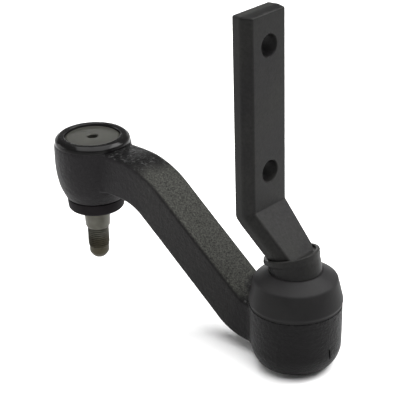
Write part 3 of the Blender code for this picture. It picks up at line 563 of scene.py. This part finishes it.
pivot_housing = [
    (0.0, 0.0375, 0.0),
    (housing_radius, 0.0375, 0.0),
    (housing_radius - 0.00055, 0.0125, 0.0),
    (housing_radius - 0.0020, 0.0060, 0.0040),
    (housing_radius - 0.0070, 0.0012, 0.0040),
    (housing_radius - 0.0125, 0.0, 0.0030),
    (0.0, 0.0, 0.0),
]
stud_housing = [
    (0.0, 0.0160, 0.0),
    (0.0190, 0.0160, 0.0),
    (0.0200, 0.0170, 0.0),
    (crown_radius - 0.0003, 0.0170, 0.0),
    (crown_radius, 0.0155, 0.0),
    (0.02285, 0.0080, 0.0060),
    (0.02215, -0.0040, 0.0060),
    (0.0196, -0.0125, 0.0050),
    (0.0172, -0.0170, 0.0012),
    (0.0, -0.0170, 0.0),
]


def forge(piece, voxel, passes):
    """Fuses the overlapping blanks into one skin and fairs it, as forging dies leave it."""
    skin = piece.modifiers.new("skin", "REMESH")
    skin.mode = "VOXEL"
    skin.voxel_size = voxel
    settle(piece)
    shape = bmesh.new()
    shape.from_mesh(piece.data)
    for step in range(passes):
        bmesh.ops.smooth_vert(shape, verts=shape.verts, factor=0.5, use_axis_x=True, use_axis_y=True,
                              use_axis_z=True)
    shape.normal_update()
    for vert in shape.verts:
        swell = noise.noise(vert.co * 60.0) * 0.00012 + noise.noise(vert.co * 240.0) * 0.00003
        if abs(vert.normal.x) < 0.6 or vert.co.y < pivot.y + housing_radius:
            swell += noise.noise(vert.co * 620.0) * 0.00007
        vert.co += vert.normal * swell
    shape.to_mesh(piece.data)
    shape.free()


arm = arm_blank()
blanks = [arm, turned("pivot_blank", pivot_housing, pivot), turned("stud_blank", stud_housing, ball)]
fused = bmesh.new()
for blank in blanks:
    fused.from_mesh(blank.data)
fused.to_mesh(arm.data)
fused.free()
for blank in blanks[1:]:
    bpy.data.objects.remove(blank)
forge(arm, skin_grid, fairing)

lip_top = arm_high.z - ball.z
lip_root = 0.0140
lip_mouth = 0.0161
groove_shelf = 0.0176
groove_radius = 0.0184
groove_low = 0.0172
groove_high = 0.0192
rolled_lip = [
    (groove_shelf, lip_root, 0.0),
    (groove_shelf, groove_low, 0.0),
    (groove_radius, groove_low, 0.0),
    (groove_radius, groove_high, 0.0),
    (lip_mouth, groove_high, 0.0),
    (lip_mouth, lip_top - 0.0007, 0.0),
    (0.0167, lip_top, 0.0002),
    (0.0196, lip_top - 0.0001, 0.0006),
    (0.0217, lip_top - 0.0018, 0.0007),
    (0.0222, lip_top - 0.0042, 0.0006),
    (0.0218, lip_top - 0.0047, 0.0002),
    (0.0223, lip_top - 0.0053, 0.0003),
    (0.0224, lip_root, 0.0),
]
lip = turned("rolled_lip", rolled_lip, ball, 160)


def sandy_paint():
    """Black paint over a blasted forging: sandy grey along the crank's top and bottom, and smooth on the
    sides.
    Beside the housings the top faces are darkened by painted shade and flecked with light specks, partly
    chips and partly painted glints, and painted light lightens the paint from the pivot end towards the
    stud end on all but the sanded faces."""
    paint = new_finish("arm_paint", metallic=0.0, specular_ior_level=0.08)
    place = object_place(paint)
    facing = add(paint, "SeparateXYZ", {"Vector": add(paint, "TexCoord", {}).outputs["Normal"]}).outputs["X"]
    side = add(paint, "Math", {0: facing}, operation="ABSOLUTE").outputs[0]
    along = add(paint, "SeparateXYZ", {"Vector": place}).outputs["Y"]
    round_housing = add(paint, "MapRange", {"Value": along, "From Min": 0.002, "From Max": -0.006,
                                            "To Max": 0.40}).outputs[0]
    flats = ramp(paint, side, (0.30, 1.0), (0.82, 0.15))
    gritty = add(paint, "Math", {0: flats, 1: round_housing}, operation="MAXIMUM").outputs[0]
    grit = speckle(paint, place, 1050.0, 3.0, 0.60)
    lumps = speckle(paint, place, 380.0, 4.0, 0.6)
    patches = speckle(paint, place, 38.0, 4.0)
    wander = add(paint, "Math", {0: patches, 1: 0.030, 2: along}, operation="MULTIPLY_ADD").outputs[0]
    sanded = add(paint, "MapRange", {"Value": wander, "From Min": 0.092, "From Max": 0.081}).outputs[0]
    begun = add(paint, "MapRange", {"Value": wander, "From Min": 0.016, "From Max": 0.021}).outputs[0]
    sanded = add(paint, "Math", {0: sanded, 1: begun}, operation="MULTIPLY").outputs[0]
    worn = add(paint, "Math", {0: flats, 1: sanded}, operation="MULTIPLY").outputs[0]
    tops_by_housings = add(paint, "Math", {0: flats, 1: worn}, operation="SUBTRACT").outputs[0]
    upward = add(paint, "MapRange", {"Value": look_up(paint), "From Min": 0.45, "From Max": 0.65}).outputs[0]
    tops_by_housings = add(paint, "Math", {0: tops_by_housings, 1: upward}, operation="MULTIPLY").outputs[0]
    base = ramp(paint, worn, (0.0, (0.0070, 0.0065, 0.0070)), (1.0, (0.0240, 0.0242, 0.0212)))
    # painted light: the paint grows steadily lighter from the pivot end towards the stud end, with a fixed
    # lift on the sanded faces
    painted_light_along_arm = add(paint, "MapRange", {"Value": along, "From Min": -0.030, "From Max": 0.110, "To Min": 0.52,
                                   "To Max": 1.65}).outputs[0]
    painted_light_along_arm = add(paint, "Mix", {0: worn, 2: painted_light_along_arm, 3: 1.15}, data_type="FLOAT").outputs[0]
    # painted shade: the top faces beside the housings are darkened
    painted_shade_by_housings = add(paint, "Math", {0: tops_by_housings, 1: -0.92, 2: 1.0}, operation="MULTIPLY_ADD").outputs[0]
    painted_light_along_arm = add(paint, "Math", {0: painted_light_along_arm, 1: painted_shade_by_housings}, operation="MULTIPLY").outputs[0]
    contrast = add(paint, "MapRange", {"Value": worn, "To Min": 1.2, "To Max": 4.3}).outputs[0]
    spread = add(paint, "Math", {0: grit, 1: -0.5}, operation="ADD").outputs[0]
    speck = add(paint, "Math", {0: spread, 1: contrast, 2: 1.0}, operation="MULTIPLY_ADD").outputs[0]
    speck = add(paint, "Math", {0: speck, 1: painted_light_along_arm}, operation="MULTIPLY").outputs[0]
    colour = add(paint, "VectorMath", {0: base, 1: speck}, operation="MULTIPLY").outputs[0]
    # light flecks on those top faces, partly chips and partly painted glints
    chips_and_glints = ramp(paint, speckle(paint, place, 520.0, 4.0, 0.65), (0.56, 0.0), (0.64, 0.045))
    chips_and_glints = add(paint, "Math", {0: chips_and_glints, 1: tops_by_housings}, operation="MULTIPLY").outputs[0]
    colour = add(paint, "VectorMath", {0: colour, 1: chips_and_glints}, operation="ADD").outputs[0]
    rough = ramp(paint, patches, (0.30, 0.40), (0.75, 0.52))
    strength = add(paint, "Math", {0: gritty, 1: 0.85}, operation="MULTIPLY").outputs[0]
    normal = raise_grain(paint, [(lumps, 0.60, 0.0008), (grit, strength, 0.00060)])
    connect(paint, base_color=colour, roughness=rough, normal=normal)
    return paint


def rolled_paint():
    """Glossy black over the rolled steel, with fine rings from the rolling tool."""
    paint = new_finish("rolled_paint", metallic=0.0, specular_ior_level=0.12)
    place = add(paint, "Mapping", {"Vector": object_place(paint), "Location": -ball}).outputs["Vector"]
    rings = add(paint, "TexWave", {"Vector": place, "Scale": 620.0, "Distortion": 0.6, "Detail": 1.0},
                wave_type="RINGS", rings_direction="Z").outputs["Fac"]
    smear = speckle(paint, place, 120.0, 3.0)
    colour = ramp(paint, smear, (0.3, (0.0045, 0.0042, 0.0045)), (0.75, (0.0080, 0.0078, 0.0075)))
    rough = ramp(paint, smear, (0.3, 0.11), (0.75, 0.20))
    normal = raise_grain(paint, [(rings, 0.05, 0.0001)])
    connect(paint, base_color=colour, roughness=rough, normal=normal)
    return paint


arm.data.materials.clear()
arm.data.materials.append(sandy_paint())
lip.data.materials.append(rolled_paint())
combine(arm, lip, "UNION")

pivot_bore = [
    (0.0, 0.0600, 0.0),
    (0.0262, 0.0600, 0.0),
    (0.0262, 0.0360, 0.0),
    (0.0180, 0.0360, 0.0),
    (0.0180, 0.0070, 0.0),
    (0.0, 0.0070, 0.0),
]
stud_bore = [
    (0.0, 0.0168, 0.0),
    (0.0173, 0.0168, 0.0),
    (0.0173, -0.0113, 0.0),
    (0.0119, -0.0113, 0.0),
    (0.0134, -0.0200, 0.0),
    (0.0, -0.0200, 0.0),
]
combine(arm, turned("pivot_bore", pivot_bore, pivot), "DIFFERENCE")
combine(arm, turned("stud_bore", stud_bore, ball), "DIFFERENCE")
combine(arm, drill("base_port", 0.0031, 0.0200, pivot, (0.0, 0.0, 1.0)), "DIFFERENCE")


def flash_seam():
    """A short lap in the skin where the dies met, on the pivot housing's far end."""
    shape = bmesh.new()
    bmesh.ops.create_cube(shape, size=1.0)
    bmesh.ops.scale(shape, vec=(0.0010, 0.0040, 0.0068), verts=shape.verts)
    lean = Matrix.Rotation(math.radians(-9), 3, "Y")
    bmesh.ops.rotate(shape, cent=(0.0, 0.0, 0.0), matrix=lean, verts=shape.verts)
    bmesh.ops.translate(shape, vec=pivot + Vector((-0.0020, -0.0244, 0.0140)), verts=shape.verts)
    return make_piece("flash_seam", shape)


def close_slivers(piece, reach):
    """Draws together the points that the cuts left almost in one place."""
    shape = bmesh.new()
    shape.from_mesh(piece.data)
    bmesh.ops.remove_doubles(shape, verts=shape.verts, dist=reach)
    bmesh.ops.dissolve_degenerate(shape, edges=shape.edges, dist=reach)
    shape.to_mesh(piece.data)
    shape.free()


combine(arm, flash_seam(), "DIFFERENCE")
sliver_reach = 0.000002
close_slivers(arm, sliver_reach)
split_wide_faces(arm)
arm.data.set_sharp_from_angle(angle=math.radians(50))
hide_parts("arm_forging")
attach(arm, "arm")

# Stud cover: a thick steel disc with a dull grey-green phosphate coat, held down by the rolled lip. A
# tapped port for grease goes through its middle.
cover_low, cover_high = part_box("stud_cover")
cover_outline = [
    (0.0031, cover_high.z - ball.z - 0.0005, 0.0),
    (0.0036, cover_high.z - ball.z, 0.0),
    (0.0152, cover_high.z - ball.z, 0.0003),
    (0.0156, cover_high.z - ball.z - 0.0008, 0.0),
    (cover_high.x, cover_high.z - ball.z - 0.0008, 0.0),
    (cover_high.x, cover_low.z - ball.z, 0.0),
    (0.0031, cover_low.z - ball.z, 0.0),
]
cover = turned("stud_cover", cover_outline, ball)


def phosphate(name, light, dark, metallic, stained_below=-1.0):
    """Dull phosphate coat on turned steel, with fine turning rings and oil-stained below a height."""
    coat = new_finish(name, metallic=metallic, specular_ior_level=0.32)
    place = add(coat, "Mapping", {"Vector": object_place(coat), "Location": -ball}).outputs["Vector"]
    rings = add(coat, "TexWave", {"Vector": place, "Scale": 520.0, "Distortion": 0.8, "Detail": 2.0},
                wave_type="RINGS", rings_direction="Z").outputs["Fac"]
    stain = speckle(coat, place, 160.0, 5.0)
    crystals = speckle(coat, place, 2400.0, 2.0)
    colour = ramp(coat, stain, (0.30, dark), (0.72, light))
    height = add(coat, "SeparateXYZ", {"Vector": place}).outputs["Z"]
    clean = add(coat, "MapRange", {"Value": height, "From Min": stained_below - 0.004,
                                   "From Max": stained_below}).outputs[0]
    clean = ramp(coat, clean, (0.0, (0.50, 0.45, 0.33)), (1.0, (1.0, 1.0, 1.0)))
    colour = add(coat, "VectorMath", {0: colour, 1: clean}, operation="MULTIPLY").outputs[0]
    rough = ramp(coat, stain, (0.25, 0.42), (0.75, 0.55))
    normal = raise_grain(coat, [(rings, 0.06, 0.0001), (crystals, 0.15, 0.00006)])
    connect(coat, base_color=colour, roughness=rough, normal=normal)
    return coat


cover.data.materials.append(phosphate("cover_steel", (0.038, 0.038, 0.0315), (0.024, 0.024, 0.0195), 0.30))
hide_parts("stud_cover")
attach(cover, "arm")

# Ball stud: a turned and hardened steel stud whose head sits on the half ball. Below the housing come its
# seat taper, a fine thread, and a plain tail with a cross hole. It has a dull, oil-stained phosphate coat.
stud_low, stud_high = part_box("ball_stud")
stud_length = ball.z - stud_low.z
head_top = stud_high.z - ball.z
thread_radius = 0.00635
thread_core = 0.00562
thread_pitch = 0.00127
thread_top = -0.0380
thread_end = -0.0505
tail_radius = 0.0058
pin_height = -0.0505
stud_outline = [
    (0.0, head_top, 0.0),
    (0.0099, head_top, 0.0010),
    (0.0130, 0.0060, 0.0030),
    (0.0145, 0.00015, 0.0),
    (0.0080, 0.00015, 0.0),
    (0.0080, -0.0202, 0.0),
    (0.0083, -0.0205, 0.0),
    (0.0072, -0.0368, 0.0003),
    (0.0063, thread_top + 0.0002, 0.0),
    (thread_core, thread_top - 0.0004, 0.0),
    (thread_core, thread_end - 0.0004, 0.0),
    (tail_radius, thread_end - 0.0010, 0.0),
    (tail_radius, -0.0542, 0.0008),
    (0.0046, -0.0560, 0.0008),
    (0.0033, -stud_length, 0.0003),
    (0.0, -stud_length, 0.0),
]


def stud_thread():
    """The thread's ridge: a V section wound round the core, thinned at both ends as the die leaves it."""
    shape = bmesh.new()
    half = thread_pitch / 2
    root = thread_core - 0.0003
    section = ((root, -half * 0.98), (thread_radius, -half * 0.16), (thread_radius, half * 0.16),
               (root, half * 0.98))
    face = start_face(shape, [(radius, 0.0, thread_top + z) for radius, z in section])
    turns = (thread_top - thread_end) / thread_pitch
    steps = int(turns * 48)
    face_copy = bmesh.ops.duplicate(shape, geom=[face])["geom"]
    start = next(part for part in face_copy if isinstance(part, bmesh.types.BMFace))
    bmesh.ops.spin(shape, geom=[start], cent=(0.0, 0.0, 0.0), axis=(0.0, 0.0, 1.0),
                   angle=turns * 2 * math.pi, dvec=(0.0, 0.0, -thread_pitch * turns / steps), steps=steps,
                   use_duplicate=False)
    bmesh.ops.remove_doubles(shape, verts=shape.verts, dist=1e-7)
    fade = thread_pitch * 1.2
    for vert in shape.verts:
        depth = min(thread_top - vert.co.z, vert.co.z - thread_end) / fade
        share = max(0.0, min(1.0, depth + 0.35))
        limit = thread_core - 0.0001 + (thread_radius - thread_core + 0.0001) * share
        away = math.hypot(vert.co.x, vert.co.y)
        if away > limit:
            vert.co.x *= limit / away
            vert.co.y *= limit / away
    bmesh.ops.recalc_face_normals(shape, faces=shape.faces)
    bmesh.ops.translate(shape, vec=ball, verts=shape.verts)
    return make_piece("thread", shape)


stud = turned("ball_stud", stud_outline, ball)
combine(stud, stud_thread(), "UNION")
pin_turn = math.radians(-47)
pin_place = ball + Vector((0.0, 0.0, pin_height))
pin_way = (math.cos(pin_turn), math.sin(pin_turn), 0.0)
combine(stud, drill("pin_hole", 0.0016, 0.0300, pin_place, pin_way), "DIFFERENCE")
stud.data.set_sharp_from_angle(angle=math.radians(35))
stud.data.materials.clear()
stud_coat = phosphate("stud_steel", (0.094, 0.092, 0.076), (0.052, 0.049, 0.039), 0.50, -0.0412)
stud.data.materials.append(stud_coat)
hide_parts("ball_stud")
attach(stud, "ball_stud")

# Dust boot: a short soft black rubber cup between the stud housing's foot and the stud.
boot_low, boot_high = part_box("dust_boot")
boot_top = boot_high.z - ball.z
boot_floor = boot_low.z - ball.z
boot_radius = boot_high.x
boot_outline = [
    (boot_radius - 0.0020, boot_top, 0.0003),
    (boot_radius, boot_top, 0.0004),
    (boot_radius - 0.0006, boot_floor, 0.0020),
    (0.0086, boot_floor, 0.0004),
    (0.0086, boot_floor + 0.0020, 0.0),
    (boot_radius - 0.0030, boot_floor + 0.0020, 0.0008),
]
boot = turned("dust_boot", boot_outline, ball)


def boot_rubber():
    """Deep black soft rubber, almost without shine."""
    rubber = new_finish("boot_rubber", metallic=0.0, specular_ior_level=0.04)
    place = object_place(rubber)
    bloom = speckle(rubber, place, 90.0, 4.0)
    skin = speckle(rubber, place, 1400.0, 2.0)
    colour = ramp(rubber, bloom, (0.3, (0.007, 0.0060, 0.0067)), (0.75, (0.0115, 0.0100, 0.0110)))
    rough = ramp(rubber, bloom, (0.3, 0.55), (0.75, 0.68))
    normal = raise_grain(rubber, [(skin, 0.15, 0.00008)])
    connect(rubber, base_color=colour, roughness=rough, normal=normal)
    return rubber


boot.data.materials.append(boot_rubber())
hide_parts("dust_boot")
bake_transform(boot)

# Pieces inside the two housings: washers, bearings, springs and seals, hidden once the arm is closed up.
# Each keeps its solid from the frame and gets the finish of its stock.


def turned_steel():
    """Bright turned steel with fine rings and oil stains."""
    steel = new_finish("machined_steel", metallic=1.0)
    place = object_place(steel)
    stain = speckle(steel, place, 140.0, 4.0)
    drawn = add(steel, "Mapping", {"Vector": place, "Scale": (40.0, 40.0, 2600.0)}).outputs[0]
    lines = speckle(steel, drawn, 1.0)
    colour = ramp(steel, stain, (0.3, (0.30, 0.30, 0.29)), (0.75, (0.48, 0.48, 0.46)))
    rough = ramp(steel, stain, (0.3, 0.24), (0.75, 0.38))
    connect(steel, base_color=colour, roughness=rough, normal=raise_grain(steel, [(lines, 0.1, 0.00005)]))
    return steel


def oiled_spring():
    """Dark tempered spring steel, blued and oiled."""
    steel = new_finish("spring_steel", metallic=1.0)
    place = object_place(steel)
    temper = speckle(steel, place, 200.0, 3.0)
    colour = ramp(steel, temper, (0.3, (0.10, 0.10, 0.12)), (0.75, (0.20, 0.20, 0.21)))
    rough = ramp(steel, temper, (0.3, 0.25), (0.75, 0.40))
    connect(steel, base_color=colour, roughness=rough, normal=raise_grain(steel, [(temper, 0.1, 0.0001)]))
    return steel


def sintered_iron():
    """Oil-soaked sintered iron, brown and open grained."""
    iron = new_finish("sintered_iron", metallic=0.7)
    place = object_place(iron)
    pores = add(iron, "TexVoronoi", {"Vector": place, "Scale": 2200.0}).outputs["Distance"]
    oil = speckle(iron, place, 120.0, 4.0)
    colour = ramp(iron, oil, (0.3, (0.17, 0.13, 0.09)), (0.75, (0.30, 0.25, 0.19)))
    rough = ramp(iron, oil, (0.3, 0.42), (0.75, 0.62))
    connect(iron, base_color=colour, roughness=rough, normal=raise_grain(iron, [(pores, 0.3, 0.0001)]))
    return iron


def ring_rubber():
    """Smooth black rubber of the two O-rings."""
    rubber = new_finish("ring_rubber", metallic=0.0)
    place = object_place(rubber)
    grease = speckle(rubber, place, 300.0, 3.0)
    colour = ramp(rubber, grease, (0.3, (0.012, 0.012, 0.012)), (0.75, (0.024, 0.024, 0.024)))
    rough = ramp(rubber, grease, (0.3, 0.30), (0.75, 0.50))
    connect(rubber, base_color=colour, roughness=rough, normal=raise_grain(rubber, [(grease, 0.1, 0.0001)]))
    return rubber


hidden_stock = {
    turned_steel: ("retainer_ring", "upper_thrust_washer", "lower_thrust_washer", "stem_nut", "nut_pin",
                   "half_ball"),
    sintered_iron: ("upper_bearing", "lower_bearing", "pressure_seat", "lower_seat"),
    oiled_spring: ("preload_spring", "stud_spring"),
    ring_rubber: ("stem_o_ring", "retainer_o_ring"),
}
for stock, names in hidden_stock.items():
    finish = stock()
    for name in names:
        node = frame["nodes"][name]
        node.data.materials.clear()
        node.data.materials.append(finish)

# Photograph's setting: the camera of the photograph, a white sweep under the pivot housing, and a white
# surround that dims higher up. A large soft light hangs overhead, a smaller box stands on the right, and
# two cards stand behind, so that the black paint shows its form.
camera = bpy.data.objects.new("camera", bpy.data.cameras.new("camera"))
camera.data.sensor_width = 36
camera.data.lens = 126.6
camera.location = (-0.5121, -0.4347, 0.26185)
look = Vector((0.6655, 0.6136, -0.4250)).to_track_quat("-Z", "Y")
camera.rotation_mode = "QUATERNION"
camera.rotation_quaternion = look @ Quaternion((0.0, 0.0, 1.0), math.radians(-1.73))
camera.data.clip_start = 0.01
camera.data.clip_end = 20
bpy.context.scene.collection.objects.link(camera)
bpy.context.scene.camera = camera


def soft_light(name, place, size, power, target=(0.0, 0.05, -0.05)):
    light = bpy.data.objects.new(name, bpy.data.lights.new(name, "AREA"))
    light.data.shape = "RECTANGLE"
    light.data.size, light.data.size_y = size
    light.data.energy = power
    light.location = place
    light.rotation_euler = (Vector(target) - Vector(place)).to_track_quat("-Z", "Y").to_euler()
    bpy.context.scene.collection.objects.link(light)


soft_light("overhead", (0.10, -0.15, 1.45), (2.3, 2.3), 76.0)
soft_light("key_box", (0.80, -0.55, 0.90), (0.8, 0.8), 12.0)
soft_light("back_card", (-0.48, 1.10, 0.20), (0.7, 0.6), 2.4)
soft_light("rear_card", (0.60, 0.80, -0.05), (0.4, 0.4), 1.5)

world = bpy.data.worlds.new("white_room")
bpy.context.scene.world = world
world.use_nodes = True
sky = world.node_tree.nodes.new("ShaderNodeTexCoord")
height = world.node_tree.nodes.new("ShaderNodeSeparateXYZ")
fade = world.node_tree.nodes.new("ShaderNodeMapRange")
for socket, value in (("From Min", 0.17), ("From Max", 0.26), ("To Min", 1.0), ("To Max", 0.12)):
    fade.inputs[socket].default_value = value
background = world.node_tree.nodes["Background"]
background.inputs["Color"].default_value = (1.0, 1.0, 1.0, 1.0)
world.node_tree.links.new(sky.outputs["Generated"], height.inputs["Vector"])
world.node_tree.links.new(height.outputs["Z"], fade.inputs["Value"])
world.node_tree.links.new(fade.outputs["Result"], background.inputs["Strength"])

sweep = bmesh.new()
bmesh.ops.create_grid(sweep, x_segments=1, y_segments=1, size=0.8)
bmesh.ops.translate(sweep, vec=(0.0, 0.0, arm_low.z - 0.0002), verts=sweep.verts)
floor = make_piece("floor", sweep)
paper = new_finish("white_paper", roughness=0.9, base_color=(0.92, 0.92, 0.92, 1.0), specular_ior_level=0.1)
floor.data.materials.append(paper)
bpy.context.scene.view_settings.view_transform = "Standard"
